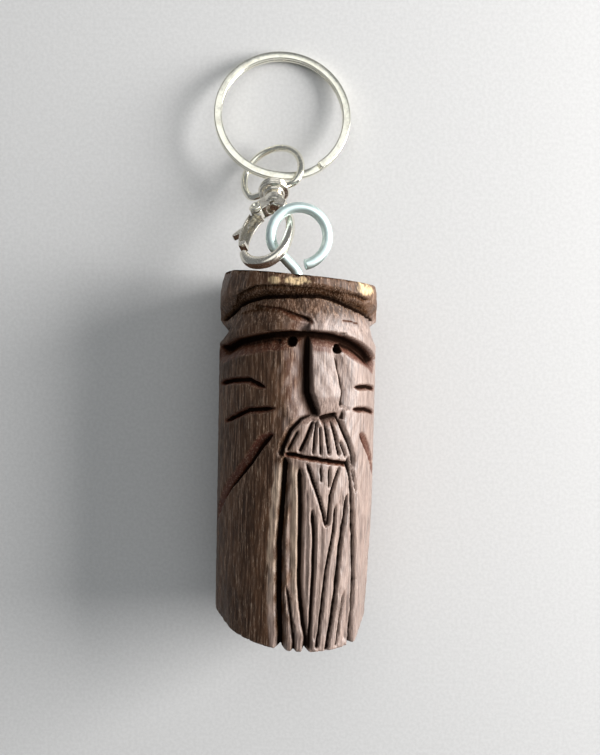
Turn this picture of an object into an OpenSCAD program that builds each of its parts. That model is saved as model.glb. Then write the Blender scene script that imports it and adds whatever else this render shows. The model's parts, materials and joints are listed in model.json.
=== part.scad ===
// Carved keychain: a whittled bearded face on a turned stick, a screw eye in its top,
// a swivel lobster clasp hooked through the eye, and a two-coil split ring.
// It lies on its flat back. +Z is up, away from the table, +Y runs from the foot of the
// carving to the split ring, +X is the viewer's right. Millimetres.

/* [Carving] */
// radius of the turned stick
stick_r = 15.9; // [12:0.1:20]
// length of the stick along its middle
stick_len = 68.4; // [50:0.2:100]
// depth of the flat whittled along the back
back_flat = 0.35; // [0.2:0.05:1]
// turn of the face about the stick's length, toward +X
face_turn = 16; // [-30:1:30]
// slant of the sawn top, right side lower
top_slant = 4.6; // [0:0.1:10]
// slant of the sawn foot, right side lower
foot_slant = 5.1; // [0:0.1:10]
// slant of the sawn foot, front lower
foot_lean = 11.6; // [0:0.1:20]
// distance from the top to the groove under the hat band
hat_drop = 3.7; // [3:0.1:8]
// distance from the top to the brow's lower edge
brow_drop = 9.9; // [8:0.1:16]
// distance from the top to the mouth
mouth_drop = 34.4; // [28:0.1:42]
// depth of the widest beard grooves
groove_deep = 1.7; // [0.5:0.1:3]

/* [Screw eye] */
// radius of the eye's wire
eye_wire_r = 1.07; // [0.8:0.01:2]
// radius of the eye, to the middle of the wire
eye_r = 5.75; // [4:0.01:9]
// height of the eye's centre above the stick's top
eye_rise = 8.4; // [7:0.05:14]
// depth of the shank in the wood
shank_len = 14; // [8:0.5:25]

/* [Clasp] */
// half length of the clasp's closed outline
claw_half_len = 7.5; // [6:0.1:12]
// half width of the clasp's closed outline
claw_half_w = 4.9; // [3.5:0.1:8]
// thickness of the cast hook, front to back
claw_thick = 2.3; // [2:0.1:5]
// radius of the gate's rivet
rivet_r = 0.7; // [0.5:0.05:1]
// how far the gate opens inward
gate_open = 22; // [10:1:30]

/* [Swivel] */
// radius of the swivel's stem
stem_r = 0.9; // [0.6:0.05:1.5]
// widest radius of the swivel's head
head_r = 3.25; // [2.5:0.05:5]
// radius of the bail's wire
bail_wire_r = 0.75; // [0.5:0.01:1.2]
// radius of the bail, to the middle of its wire
bail_r = 6.6; // [4.5:0.05:10]

/* [Split ring] */
// outer radius of the split ring
ring_r = 14.45; // [10:0.05:20]
// radial width of its wire
ring_w = 1.7; // [1:0.05:3]
// height of one coil of its wire
ring_coil = 0.95; // [0.6:0.05:2]

/* [Hidden] */
$fn = 64;

// running gap between a shaft and its hole
run = 0.06;
// middle of the bounding box, so that the frame's origin is under it
mid_x = -1.436;
mid_y = 8.335;
axis_z = stick_r - back_flat;
top_y = 20.0;
foot_y = top_y - stick_len;
// screw eye
eye_x = -0.12;
eye_y = top_y + eye_rise;
eye_z = 17.5;
eye_tip = 10;
// clasp pose, eye contact and swivel
claw_at = [-5.5, 35.9, 11.3];
claw_head = 10.7;
claw_dip = 36.1;
claw_roll = 25;
swivel_lean = 12;
pin_at = 3.3;
head_turn = 7;
bail_swing = 9;
bail_drop = 4.2;
// split ring pose
ring_at = [-4.3, 54.5, 4.77];
ring_pitch = 15;
ring_bank = 4.5;

module world() { translate([-mid_x, -mid_y, 0]) children(); }
module at_claw() {
    world() translate(claw_at) rotate([0, 0, -claw_head]) rotate([-claw_dip, 0, 0])
        rotate([0, -claw_roll, 0]) children();
}
// the swivel's axis is local +Y
module at_swivel() { at_claw() rotate([0, 0, swivel_lean]) children(); }
// the bail's pin axis is local +X
module at_pin() {
    at_swivel() translate([0, pin_at, 0]) rotate([0, -head_turn, 0]) children();
}
module at_ring() {
    world() translate(ring_at) rotate([-ring_pitch, 0, 0]) rotate([0, ring_bank, 0]) children();
}
// a rod along +Y between two heights, and one along +X
module rod_y(r, y0, y1) { translate([0, y1, 0]) rotate([90, 0, 0]) cylinder(r = r, h = y1 - y0); }
module rod_x(r, x0, x1) { translate([x0, 0, 0]) rotate([0, 90, 0]) cylinder(r = r, h = x1 - x0); }
// a rod between two points
module rod(p, q, r) {
    d = q - p;
    translate(p) rotate([0, acos(d[2] / norm(d)), atan2(d[1], d[0])]) cylinder(r = r, h = norm(d));
}

// ---- carved figure ----
// local +Z is outward at an angle about the stick's length and a height along it
module on_stick(a, y) {
    translate([0, y, axis_z]) rotate([0, a, 0]) translate([0, 0, stick_r]) children();
}
// a knife cut: a V with tapered ends, along local X
module leaf(len, w, d) {
    m = len * 0.32;
    polyhedron(
        points = [[-len / 2, 0, 0.15], [-m, w / 2, 0.1], [-m, 0, -d], [-m, -w / 2, 0.1], [-m, 0, 1.4],
                  [m, w / 2, 0.1], [m, 0, -d], [m, -w / 2, 0.1], [m, 0, 1.4], [len / 2, 0, 0.15]],
        faces = [[2, 1, 0], [3, 2, 0], [4, 3, 0], [1, 4, 0], [5, 6, 9], [6, 7, 9], [7, 8, 9], [8, 5, 9],
                 [6, 5, 1], [2, 6, 1], [7, 6, 2], [3, 7, 2], [8, 7, 3], [4, 8, 3], [5, 8, 4], [1, 5, 4]]);
}
// a knife cut between two places on the stick, each an angle and a height
module gouge(p, q, w, d) {
    dx = (q[0] - p[0]) * PI / 180 * stick_r;
    dy = q[1] - p[1];
    on_stick((p[0] + q[0]) / 2, (p[1] + q[1]) / 2) rotate([0, 0, atan2(dy, dx)])
        leaf(norm([dx, dy]) * 1.12, w, d);
}
// cuts through a row of places
module gouges(list, w, d) {
    for (i = [0 : len(list) - 2]) gouge(list[i], list[i + 1], w, d);
}
// a shoulder cut round the stick: deep at one height, running out at another
module shoulder(a0, a1, y_deep, y_out, d) {
    translate([0, 0, axis_z]) rotate([-90, 0, 0]) rotate([0, 0, a0 - 90])
        rotate_extrude(angle = a1 - a0)
            polygon([[stick_r - d, y_deep], [stick_r + 2, y_deep],
                     [stick_r + 2, y_out - (y_deep - y_out) * 0.2], [stick_r, y_out]]);
}
// a round-bottomed scoop along the stick
module scoop(a, y0, y1, r, d) {
    on_stick(a, y0) translate([0, 0, r - d]) rod_y(r, 0, y1 - y0);
}
module carved_figure() {
    f = face_turn;
    hat_y = top_y - hat_drop;
    brow_y = top_y - brow_drop;
    mouth_y = top_y - mouth_drop;
    color([0.24, 0.14, 0.10]) world() difference() {
        translate([0, 0, axis_z]) rotate([90, 0, 0]) translate([0, 0, -top_y - 3])
            cylinder(r = stick_r, h = top_y - foot_y + 7, $fn = 144);
        // sawn ends
        translate([0, top_y, axis_z]) rotate([-1.7, 0, -top_slant]) translate([-40, 0, -40]) cube([80, 20, 80]);
        translate([0, foot_y, axis_z]) rotate([foot_lean, 0, -foot_slant]) translate([-40, -20, -40]) cube([80, 20, 80]);
        // flat whittled along the back
        translate([-40, foot_y - 8, -20]) cube([80, stick_len + 16, 20]);
        // hat band's underside, and the two brow cuts
        shoulder(f - 58, f + 46, hat_y, hat_y - 5.2, 1.7);
        shoulder(f - 82, f - 6, brow_y, brow_y - 5.0, 2.5);
        shoulder(f + 7, f + 58, brow_y - 0.4, brow_y - 6.2, 2.6);
        // step under the nose, over the moustache
        on_stick(f + 5, brow_y - 18.2) translate([0, 0, 2.9]) rotate([0, 0, 8]) rod_x(4.3, -3.3, 3.3);
        // scoops each side of the nose
        scoop(f - 18, brow_y - 18.5, brow_y - 1.5, 4.6, 1.6);
        scoop(f + 25, brow_y - 17.5, brow_y - 2.5, 4.2, 1.3);
        // eye holes
        on_stick(f - 20, brow_y - 2.6) translate([0, 0, -3.6]) cylinder(r = 0.95, h = 5);
        on_stick(f + 15.5, brow_y - 3.8) translate([0, 0, -3.6]) cylinder(r = 0.95, h = 5);
        // brow wrinkles and leaf cuts
        gouges([[f - 29, hat_y - 2.3], [f - 9, hat_y - 4.0], [f - 4, hat_y - 5.0]], 0.8, 0.5);
        gouge([f + 16, hat_y - 4.3], [f + 36, hat_y - 5.2], 1.2, 0.7);
        // cheek cuts
        gouge([f - 87, brow_y - 11.2], [f - 38, brow_y - 10.6], 1.7, 1.6);
        gouge([f - 77, brow_y - 18.0], [f - 31, brow_y - 15.2], 1.6, 1.5);
        gouge([f + 29, brow_y - 11.0], [f + 62, brow_y - 12.4], 1.5, 1.3);
        gouge([f + 28, brow_y - 15.2], [f + 60, brow_y - 17.0], 1.5, 1.3);
        // smile lines
        gouges([[f - 31, mouth_y + 4.2], [f - 49, mouth_y - 1.4], [f - 69, mouth_y - 7.0], [f - 84, mouth_y - 11.5]], 1.5, 1.3);
        gouges([[f + 38, mouth_y + 3.4], [f + 48, mouth_y + 0.6], [f + 62, mouth_y - 4.4]], 1.3, 1.1);
        // moustache outline and its strands
        gouges([[f - 3, mouth_y + 8.2], [f - 14, mouth_y + 6.6], [f - 22, mouth_y + 3.4], [f - 25, mouth_y + 0.6]], 1.1, 0.9);
        gouges([[f + 12, mouth_y + 8.2], [f + 19, mouth_y + 5.2], [f + 29, mouth_y - 0.4]], 1.1, 0.9);
        gouge([f - 4, mouth_y + 7.4], [f - 14, mouth_y + 1.4], 1.2, 1.5);
        gouge([f + 1, mouth_y + 6.0], [f + 2, mouth_y + 0.8], 0.8, 1.3);
        gouge([f + 4, mouth_y + 7.2], [f + 8, mouth_y + 1.0], 0.8, 1.3);
        gouge([f + 9, mouth_y + 7.0], [f + 16, mouth_y + 1.2], 0.9, 1.3);
        // mouth
        gouges([[f - 22, mouth_y + 1.0], [f, mouth_y], [f + 25, mouth_y - 1.3]], 1.3, 1.6);
        // beard: outer grooves, inner grooves, and the V under the lip
        gouges([[f - 24, mouth_y + 0.4], [f - 26, mouth_y - 14], [f - 26.5, mouth_y - 27], [f - 24, foot_y - 5]], 1.6, groove_deep);
        gouges([[f - 13, mouth_y - 2], [f - 12, mouth_y - 16], [f - 12, mouth_y - 25], [f - 6, foot_y - 4]], 1.3, groove_deep * 0.85);
        gouges([[f - 3, mouth_y - 10], [f - 1, mouth_y - 16], [f - 4, foot_y - 4]], 1.0, groove_deep * 0.7);
        gouges([[f + 16, mouth_y - 9], [f + 8, mouth_y - 22], [f + 3, foot_y - 4]], 0.8, groove_deep * 0.5);
        gouges([[f + 25, mouth_y - 8.5], [f + 20, mouth_y - 17], [f + 10, foot_y - 4]], 1.3, groove_deep * 0.85);
        gouges([[f + 24, mouth_y + 0.4], [f + 32, mouth_y - 10], [f + 34, mouth_y - 25], [f + 31, foot_y - 4]], 1.6, groove_deep);
        gouges([[f - 6, mouth_y - 0.6], [f - 3, mouth_y - 4], [f + 8, mouth_y - 11.5]], 1.0, 1.2);
        gouges([[f + 17, mouth_y - 1.4], [f + 13, mouth_y - 4.4], [f + 9, mouth_y - 12]], 1.0, 1.2);
        // pilot hole for the screw eye
        translate([eye_x - 0.1, 0, eye_z]) rod_y(eye_wire_r - 0.02, top_y - shank_len - 0.6, top_y + 3);
    }
}

// ---- screw eye ----
module screw_eye() {
    // the wire leaves the eye along its tangent and runs straight to the shank
    tail_at = 236;
    tail = eye_r * [cos(tail_at), sin(tail_at), 0];
    along = [-sin(tail_at), cos(tail_at), 0];
    foot = tail + along * ((-0.1 - tail[0]) / along[0]);
    color([0.72, 0.78, 0.78]) world() translate([eye_x, eye_y, eye_z]) rotate([0, eye_tip, 0]) {
        rotate([0, 0, -78]) rotate_extrude(angle = tail_at + 78) translate([eye_r, 0]) circle(r = eye_wire_r);
        rod(tail - along * 0.02, foot, eye_wire_r - 0.04);
        translate(foot) sphere(r = eye_wire_r + 0.12);
        translate([foot[0], -eye_y, 0]) {
            rod_y(eye_wire_r - 0.05, top_y - shank_len + 1.2, eye_y + foot[1]);
            // wood-screw thread, as sharp ridges
            for (i = [0 : 8]) translate([0, top_y - 3.2 - i * 1.15, 0]) {
                thread_cone(0, 0.55);
                thread_cone(0.55, 0);
            }
            // point
            translate([0, top_y - shank_len + 1.25, 0]) rotate([90, 0, 0])
                cylinder(r1 = eye_wire_r - 0.05, r2 = 0.3, h = 1.25);
        }
    }
}
// half a ridge of the thread: its crest at height zero
module thread_cone(lower, upper) {
    crest = eye_wire_r + 0.2;
    rotate([-90, 0, 0]) translate([0, 0, -lower])
        cylinder(r1 = lower > 0 ? 0.8 : crest, r2 = lower > 0 ? crest : 0.8, h = max(lower, upper));
}

// ---- clasp ----
// a point on the closed outline's middle line, and its outward direction
function sq(v) = sign(v) * pow(abs(v), 0.87);
function mid_line(t) = [0.25 + claw_half_w * (1 - 0.15 * max(0, sin(t))) * sq(cos(t)), -9.0 + claw_half_len * sq(sin(t))];
function out_dir(t) = let (d = mid_line(t + 1) - mid_line(t - 1)) [d[1], -d[0]] / norm(d);
// half thickness of the hook's bar round its outline
function bar(t) = 0.88 + 0.35 * exp(-pow((t + 95) / 45, 2)) + 0.35 * exp(-pow((t - 70) / 22, 2)) - 0.25 * exp(-pow((t + 152) / 12, 2));
rivet_at = [-3.1, -2.5];
module hook_outline(g) {
    polygon(concat([for (t = [72 : -6 : -150]) mid_line(t) + out_dir(t) * (bar(t) - g)],
                   [for (t = [-150 : 6 : 72]) mid_line(t) - out_dir(t) * (bar(t) - g)]));
}
module plate(h) { translate([0, 0, -h / 2]) linear_extrude(height = h) children(); }
module claw_body() {
    gap = 2.5;
    color([0.74, 0.73, 0.70]) at_claw() difference() {
        union() {
            plate(claw_thick) hook_outline(0.25);
            plate(claw_thick - 0.7) hook_outline(0);
            // shoulder block and the two ears for the rivet
            plate(claw_thick + 0.7) polygon([[-3.6, -1.25], [-2.2, 0.1], [-0.9, 1.1], [1.4, 0.9], [3.4, -1.3], [3.2, -3.0],
                                       [1.6, -2.2], [-0.6, -2.3], [-2.4, -3.6]]);
            translate([rivet_at[0], rivet_at[1], -claw_thick / 2 - 0.35]) cylinder(r = 1.5, h = claw_thick + 0.7);
            rotate([0, 0, swivel_lean]) rod_y(2.05, -0.9, 1.55);
        }
        // slot between the ears, clear of the gate's knuckle
        translate([0, 0, -gap / 2]) linear_extrude(height = gap)
            polygon([[-8, -9], [-8, 1.4], [-3.9, 0.2], [-1.55, -1.35], [-1.55, -9]]);
        // bore for the swivel's stem
        rotate([0, 0, swivel_lean]) rod_y(stem_r + run, -4, 3);
        // room for the stem's riveted end
        rotate([0, 0, swivel_lean]) rod_y(1.5, -6, -1.25);
        translate([rivet_at[0], rivet_at[1], -4]) cylinder(r = rivet_r, h = 8);
    }
}
module gate_lever() {
    color([0.78, 0.77, 0.74]) at_claw() difference() {
        union() {
            plate(2.3) polygon(concat([for (t = [126 : 6 : 204]) mid_line(t) + out_dir(t) * (0.95 - 0.3 * (t - 126) / 78)],
                               [for (t = [204 : -6 : 132]) mid_line(t) - out_dir(t) * (1.75 - 1.0 * (t - 132) / 72)]));
            translate([rivet_at[0], rivet_at[1], -1.15]) cylinder(r = 1.45, h = 2.3);
            // thumb tab
            plate(1.6) polygon([[-4.8, -6.6], [-6.6, -8.1], [-7.2, -8.9], [-7.3, -9.4], [-6.9, -9.5], [-5.0, -8.6]]);
        }
        // hollow in the front of the lever, where the spring's leg lies
        translate([0, 0, -0.65]) linear_extrude(height = 3)
            polygon(concat([for (t = [144 : 6 : 186]) mid_line(t) + out_dir(t) * 0.35],
                           [for (t = [186 : -6 : 144]) mid_line(t) - out_dir(t) * (1.05 - 0.5 * (t - 144) / 42)]));
        // knuckle hole, and the pocket for the spring's coil
        translate([rivet_at[0], rivet_at[1], -4]) cylinder(r = rivet_r + run, h = 8);
        translate([rivet_at[0], rivet_at[1], 0.15]) cylinder(r = 1.2, h = 3);
        // channel for the spring's leg
        translate([0, 0, 0.1]) linear_extrude(height = 3) polygon([[-4.1, -2.9], [-3.6, -2.9], [-3.7, -5.4], [-4.32, -5.4]]);
    }
}
module gate_rivet() {
    h = claw_thick / 2 + 0.35;
    color([0.80, 0.79, 0.76]) at_claw() translate([rivet_at[0], rivet_at[1], 0]) difference() {
        union() {
            translate([0, 0, -h]) cylinder(r = rivet_r, h = 2 * h);
            for (s = [0, 180]) rotate([s, 0, 0]) translate([0, 0, h]) cylinder(r1 = 1.2, r2 = 1.0, h = 0.35);
        }
        for (s = [0, 180]) rotate([s, 0, 0]) translate([0, 0, h - 0.3]) cylinder(r1 = 0.3, r2 = 0.6, h = 0.7);
    }
}
module gate_spring() {
    w = 0.14;
    color([0.62, 0.62, 0.60]) at_claw() translate([rivet_at[0], rivet_at[1], 0]) {
        for (k = [0 : 2]) translate([0, 0, 0.34 + k * 0.26]) rotate_extrude() translate([1.0, 0]) circle(r = w, $fn = 16);
        // the leg that pushes on the lever
        rod([-0.80, -0.6, 0.60], [-1.15, -4.9, 0.30], w);
    }
}
module swivel_head() {
    color([0.80, 0.79, 0.75]) at_swivel() difference() {
        union() {
            rod_y(stem_r, -1.6, 2.2);
            // riveted end of the stem
            rod_y(1.3, -1.95, -1.45);
            // beaded barrel
            rotate([-90, 0, 0]) rotate_extrude()
                polygon([[0, 1.6], [1.8, 1.6], [2.2, 1.8], [2.2, 2.0], [head_r - 0.6, 2.1], [head_r - 0.15, 2.3],
                         [head_r, 2.45], [head_r, 4.0], [head_r - 0.25, 4.2], [head_r - 0.8, 4.5],
                         [head_r - 1.6, 4.68], [0, 4.75]]);
        }
        translate([0, pin_at, 0]) rotate([0, -head_turn, 0]) rod_x(bail_wire_r + run, -5, 5);
    }
}
module swivel_bail() {
    e = sqrt(bail_r * bail_r - bail_drop * bail_drop);
    half = atan2(e, bail_drop);
    color([0.76, 0.75, 0.72]) at_pin() rotate([bail_swing, 0, 0]) {
        translate([0, bail_drop, 0]) rotate([0, 0, -90 + half]) rotate_extrude(angle = 360 - 2 * half)
            translate([bail_r, 0]) circle(r = bail_wire_r);
        for (s = [-1, 1]) {
            translate([s * e, 0, 0]) sphere(r = bail_wire_r + 0.03);
            rod_x(bail_wire_r - 0.01, s > 0 ? 0.6 : -e, s > 0 ? e : -0.6);
        }
    }
}

// ---- split ring ----
module split_ring() {
    color([0.80, 0.79, 0.74]) at_ring() for (s = [0, 1]) translate([0, 0, s * ring_coil - ring_coil])
        rotate_extrude() translate([ring_r - ring_w, 0])
            polygon([[0.2, 0], [ring_w - 0.25, 0], [ring_w, 0.25], [ring_w, ring_coil - 0.25], [ring_w - 0.25, ring_coil],
                     [0.2, ring_coil], [0, ring_coil - 0.2], [0, 0.2]]);
}

carved_figure();
screw_eye();
claw_body();
gate_lever();
gate_rivet();
gate_spring();
swivel_head();
swivel_bail();
split_ring();
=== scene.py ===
"""Looks for the carved keychain: the whittled face, its screw eye, the swivel clasp and the split ring.

Lengths are millimetres until a mesh is made, and metres from there on. Places come from the CAD frame:
the boxes of its nodes, and the positions and axes of its joints.
"""

import json
import math

import bpy
import numpy as np
from mathutils import Matrix, Vector


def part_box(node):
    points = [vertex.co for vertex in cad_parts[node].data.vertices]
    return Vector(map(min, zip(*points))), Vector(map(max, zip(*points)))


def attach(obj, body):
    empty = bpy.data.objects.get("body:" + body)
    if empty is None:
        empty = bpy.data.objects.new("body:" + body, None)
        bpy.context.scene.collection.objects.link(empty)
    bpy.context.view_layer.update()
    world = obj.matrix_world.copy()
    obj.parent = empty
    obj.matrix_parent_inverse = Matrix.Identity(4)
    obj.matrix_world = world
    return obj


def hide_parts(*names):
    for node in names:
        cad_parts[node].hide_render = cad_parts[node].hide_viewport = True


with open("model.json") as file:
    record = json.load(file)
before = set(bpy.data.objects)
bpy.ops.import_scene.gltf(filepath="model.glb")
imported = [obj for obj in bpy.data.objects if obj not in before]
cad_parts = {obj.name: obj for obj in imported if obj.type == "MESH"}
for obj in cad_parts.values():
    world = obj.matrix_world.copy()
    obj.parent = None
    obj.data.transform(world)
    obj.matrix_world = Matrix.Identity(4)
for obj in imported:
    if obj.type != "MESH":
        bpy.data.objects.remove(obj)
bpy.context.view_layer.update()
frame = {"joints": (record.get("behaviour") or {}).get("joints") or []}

MM = 0.001
JOINTS = {j["name"]: j for j in frame["joints"]}


def node_box(node):
    """Lowest and highest corner of a CAD node, in millimetres."""
    low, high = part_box(node)
    return np.array(low) / MM, np.array(high) / MM


def joint_place(name):
    """A joint's position in millimetres, and its axis."""
    axis = np.array(JOINTS[name]["axis"], float)
    return np.array(JOINTS[name]["pos_m"], float) / MM, axis / np.linalg.norm(axis)


# ------------------------------------------------------------------ small mesh helpers


class Place:
    """A local frame: an origin and three axes, all in millimetres of the row frame."""

    def __init__(self, origin, x, y, z):
        self.origin = np.array(origin, float)
        self.axes = np.array([x, y, z], float)

    def out(self, points):
        return self.origin + np.asarray(points, float) @ self.axes

    def turned(self, angle):
        """The same frame turned about its own z axis, in degrees."""
        c, s = math.cos(math.radians(angle)), math.sin(math.radians(angle))
        x, y, z = self.axes
        return Place(self.origin, c * x + s * y, c * y - s * x, z)


HOME = Place((0, 0, 0), (1, 0, 0), (0, 1, 0), (0, 0, 1))


def add(name, data):
    """Puts a mesh, a light or a camera into the scene."""
    obj = bpy.data.objects.new(name, data)
    bpy.context.scene.collection.objects.link(obj)
    return obj


def make(name, points, faces, place=HOME, smooth=True):
    """A mesh object from local points in millimetres."""
    mesh = bpy.data.meshes.new(name)
    mesh.from_pydata((place.out(points) * MM).tolist(), [], faces)
    mesh.validate()
    if smooth:
        mesh.shade_smooth()
    return add(name, mesh)


def ring_quads(rows, around):
    """The quads between rings of points, with that many points round each ring."""
    faces = []
    for i in range(rows - 1):
        a, b = i * around, (i + 1) * around
        for k in range(around):
            n = (k + 1) % around
            faces.append((a + k, a + n, b + n, b + k))
    return faces


def tube_faces(rows, around):
    """The quads of a tube of point rings, and its two flat ends."""
    last = (rows - 1) * around
    ends = [tuple(reversed(range(around))), tuple(last + k for k in range(around))]
    return ring_quads(rows, around) + ends


def circle(radius, around=28):
    """A round wire section."""
    t = np.linspace(0, 2 * math.pi, around, endpoint=False)
    return np.stack([radius * np.cos(t), radius * np.sin(t)], 1)


def rounded(width, height, corner, steps=4):
    """A rectangular section with round corners."""
    points = []
    for k, (sx, sy) in enumerate(((1, 1), (-1, 1), (-1, -1), (1, -1))):
        for i in range(steps + 1):
            t = math.radians(90 * k + 90 * i / steps)
            points.append((sx * (width / 2 - corner) + corner * math.cos(t),
                           sy * (height / 2 - corner) + corner * math.sin(t)))
    return np.array(points)


def smooth_path(points, rounds=3):
    """Corner cutting, which turns a bent line into a soft bend."""
    p = np.array(points, float)
    for _ in range(rounds):
        a, b = p[:-1], p[1:]
        cut = np.stack([0.75 * a + 0.25 * b, 0.25 * a + 0.75 * b], 1).reshape(-1, 3)
        p = np.vstack([p[:1], cut, p[-1:]])
    return p


def sweep(name, path, section, place, normal, scales=None):
    """A bar along a path, with one section or a function that gives the section at each point. The
    section's first axis keeps close to the normal, which is one direction or one for each point."""
    path = np.asarray(path, float)
    tangent = np.gradient(path, axis=0)
    tangent /= np.linalg.norm(tangent, axis=1)[:, None]
    side = np.array(normal, float)
    rings = []
    for i, (p, t) in enumerate(zip(path, tangent)):
        if np.ndim(normal) == 2:
            side = normal[i]
        side = side - t * (side @ t)
        side /= np.linalg.norm(side)
        up = np.cross(t, side)
        s = section(i) if callable(section) else section
        k = 1.0 if scales is None else scales[i]
        rings.append(p + k * (s[:, :1] * side + s[:, 1:] * up))
    return make(name, np.concatenate(rings), tube_faces(len(path), len(rings[0])), place)


def lathe(name, profile, place, around):
    """A turned shape about the local y axis, from (radius, height) pairs."""
    t = np.linspace(0, 2 * math.pi, around, endpoint=False)
    points = [(r * math.sin(a), h, r * math.cos(a)) for r, h in profile for a in t]
    return make(name, points, tube_faces(len(profile), around), place)


def prism(name, outline, z0, z1, place):
    """A flat plate with that outline, which may go either way round."""
    n = len(outline)
    points = [(x, y, z) for z in (z0, z1) for x, y in outline]
    faces = [tuple(reversed(range(n))), tuple(range(n, 2 * n))]
    faces += [(k, (k + 1) % n, n + (k + 1) % n, n + k) for k in range(n)]
    area = sum(a[0] * b[1] - b[0] * a[1] for a, b in zip(outline, outline[1:] + outline[:1]))
    if area < 0:
        faces = [tuple(reversed(f)) for f in faces]
    return make(name, points, faces, place, smooth=False)


def settle(obj):
    """Turns an object's modifiers into its mesh."""
    evaluated = obj.evaluated_get(bpy.context.evaluated_depsgraph_get())
    mesh = bpy.data.meshes.new_from_object(evaluated)
    obj.modifiers.clear()
    obj.data = mesh
    return obj


def join(name, objects):
    """Several objects as one."""
    points, faces = [], []
    for o in objects:
        first = len(points)
        points += [tuple(v.co) for v in o.data.vertices]
        faces += [tuple(first + k for k in p.vertices) for p in o.data.polygons]
        bpy.data.objects.remove(o)
    mesh = bpy.data.meshes.new(name)
    mesh.from_pydata(points, [], faces)
    mesh.shade_smooth()
    return add(name, mesh)


def melt(obj, voxel):
    """One skin over everything in the object, as a casting has."""
    m = obj.modifiers.new("melt", "REMESH")
    m.mode = "VOXEL"
    m.voxel_size = voxel * MM
    return settle(obj)


def carve(obj, *cutters):
    """Takes the cutters away from the object."""
    for c in cutters:
        m = obj.modifiers.new("carve", "BOOLEAN")
        m.operation = "DIFFERENCE"
        m.solver = "EXACT"
        m.object = c
        settle(obj)
        bpy.data.objects.remove(c)
    return obj


def soften(obj, rounds):
    """Takes the sharpness off every edge."""
    m = obj.modifiers.new("soften", "SMOOTH")
    m.factor = 0.5
    m.iterations = rounds
    settle(obj)
    obj.data.shade_smooth()
    return obj


# ------------------------------------------------------------------ material helpers


class Nodes:
    """Shader nodes of one material, made by short calls."""

    def __init__(self, name):
        self.material = bpy.data.materials.new(name)
        self.material.use_nodes = True
        self.tree = self.material.node_tree
        self.shader = self.tree.nodes["Principled BSDF"]
        self.coords = self.tree.nodes.new("ShaderNodeTexCoord").outputs["Object"]

    def link(self, a, b):
        self.tree.links.new(a, b)

    def set(self, socket, value):
        """Links a socket to another, or gives it a plain value."""
        if isinstance(value, bpy.types.NodeSocket):
            self.link(value, socket)
        else:
            socket.default_value = value

    def stretched(self, x, y, z):
        """Coordinates with features about x, y and z millimetres long."""
        n = self.tree.nodes.new("ShaderNodeMapping")
        n.inputs["Scale"].default_value = (1 / (x * MM), 1 / (y * MM), 1 / (z * MM))
        self.link(self.coords, n.inputs["Vector"])
        return n.outputs["Vector"]

    def noise(self, vector, detail, rough=0.55):
        n = self.tree.nodes.new("ShaderNodeTexNoise")
        n.inputs["Scale"].default_value = 1.0
        n.inputs["Detail"].default_value = detail
        n.inputs["Roughness"].default_value = rough
        self.link(vector, n.inputs["Vector"])
        return n.outputs["Fac"]

    def ramp(self, value, low, high, out_low=0.0, out_high=1.0):
        """A soft step from out_low, where the value is low, to out_high."""
        n = self.tree.nodes.new("ShaderNodeMapRange")
        n.interpolation_type = "SMOOTHSTEP"
        for key, v in (("Value", value), ("From Min", low), ("From Max", high),
                       ("To Min", out_low), ("To Max", out_high)):
            self.set(n.inputs[key], v)
        return n.outputs["Result"]

    def math(self, operation, a, b):
        n = self.tree.nodes.new("ShaderNodeMath")
        n.operation = operation
        n.use_clamp = operation != "MULTIPLY"
        self.set(n.inputs[0], a)
        self.set(n.inputs[1], b)
        return n.outputs[0]

    def times(self, a, b):
        return self.math("MULTIPLY", a, b)

    def plus(self, a, b):
        """The sum, held between 0 and 1."""
        return self.math("ADD", a, b)

    def less(self, a, b):
        """The first less the second, held between 0 and 1."""
        return self.math("SUBTRACT", a, b)

    def mix(self, share, a, b):
        """One colour going over to another."""
        n = self.tree.nodes.new("ShaderNodeMix")
        n.data_type = "RGBA"
        self.set(n.inputs["Factor"], share)
        for key, v in (("A", a), ("B", b)):
            socket = next(s for s in n.inputs if s.name == key and s.type == "RGBA")
            self.set(socket, v if isinstance(v, bpy.types.NodeSocket) else (*v, 1.0))
        return next(s for s in n.outputs if s.type == "RGBA")

    def attribute(self, name):
        n = self.tree.nodes.new("ShaderNodeAttribute")
        n.attribute_name = name
        return n.outputs["Fac"]

    def bump(self, height, strength, distance_mm, normal=None):
        n = self.tree.nodes.new("ShaderNodeBump")
        n.inputs["Strength"].default_value = strength
        n.inputs["Distance"].default_value = distance_mm * MM
        self.link(height, n.inputs["Height"])
        if normal is not None:
            self.link(normal, n.inputs["Normal"])
        return n.outputs["Normal"]

    def finish(self, **inputs):
        """Sets the shader's inputs, named with _ for a space, and gives back the material."""
        for key, value in inputs.items():
            self.set(self.shader.inputs[key.replace("_", " ")], value)
        return self.material


def plated(name, colour, tarnish, rough, scratch=0.25, mottled=0.35):
    """Plated metal: fine scratches, patches of duller plating, and a slightly wavy skin."""
    n = Nodes(name)
    patches = n.noise(n.stretched(1.6, 1.6, 1.6), 3.0)
    lines = n.noise(n.stretched(0.05, 1.4, 0.05), 2.0)
    cross = n.noise(n.stretched(1.1, 0.06, 0.4), 2.0)
    grain = n.noise(n.stretched(0.12, 0.12, 0.12), 2.0)
    worn = n.ramp(patches, 0.42, 0.72)
    scuffs = n.ramp(n.plus(n.times(lines, 0.5), n.times(cross, 0.5)), 0.5, 0.72)
    wear = n.plus(n.times(worn, 0.10), n.times(scuffs, scratch * 0.5))
    normal = n.bump(grain, 0.12, 0.02)
    normal = n.bump(scuffs, 0.15, 0.012, normal)
    normal = n.bump(patches, 0.25, 0.10, normal)
    return n.finish(Metallic=1.0, Base_Color=n.mix(n.times(worn, mottled), colour, tarnish),
                    Roughness=n.plus(wear, rough), Normal=normal)


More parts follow.
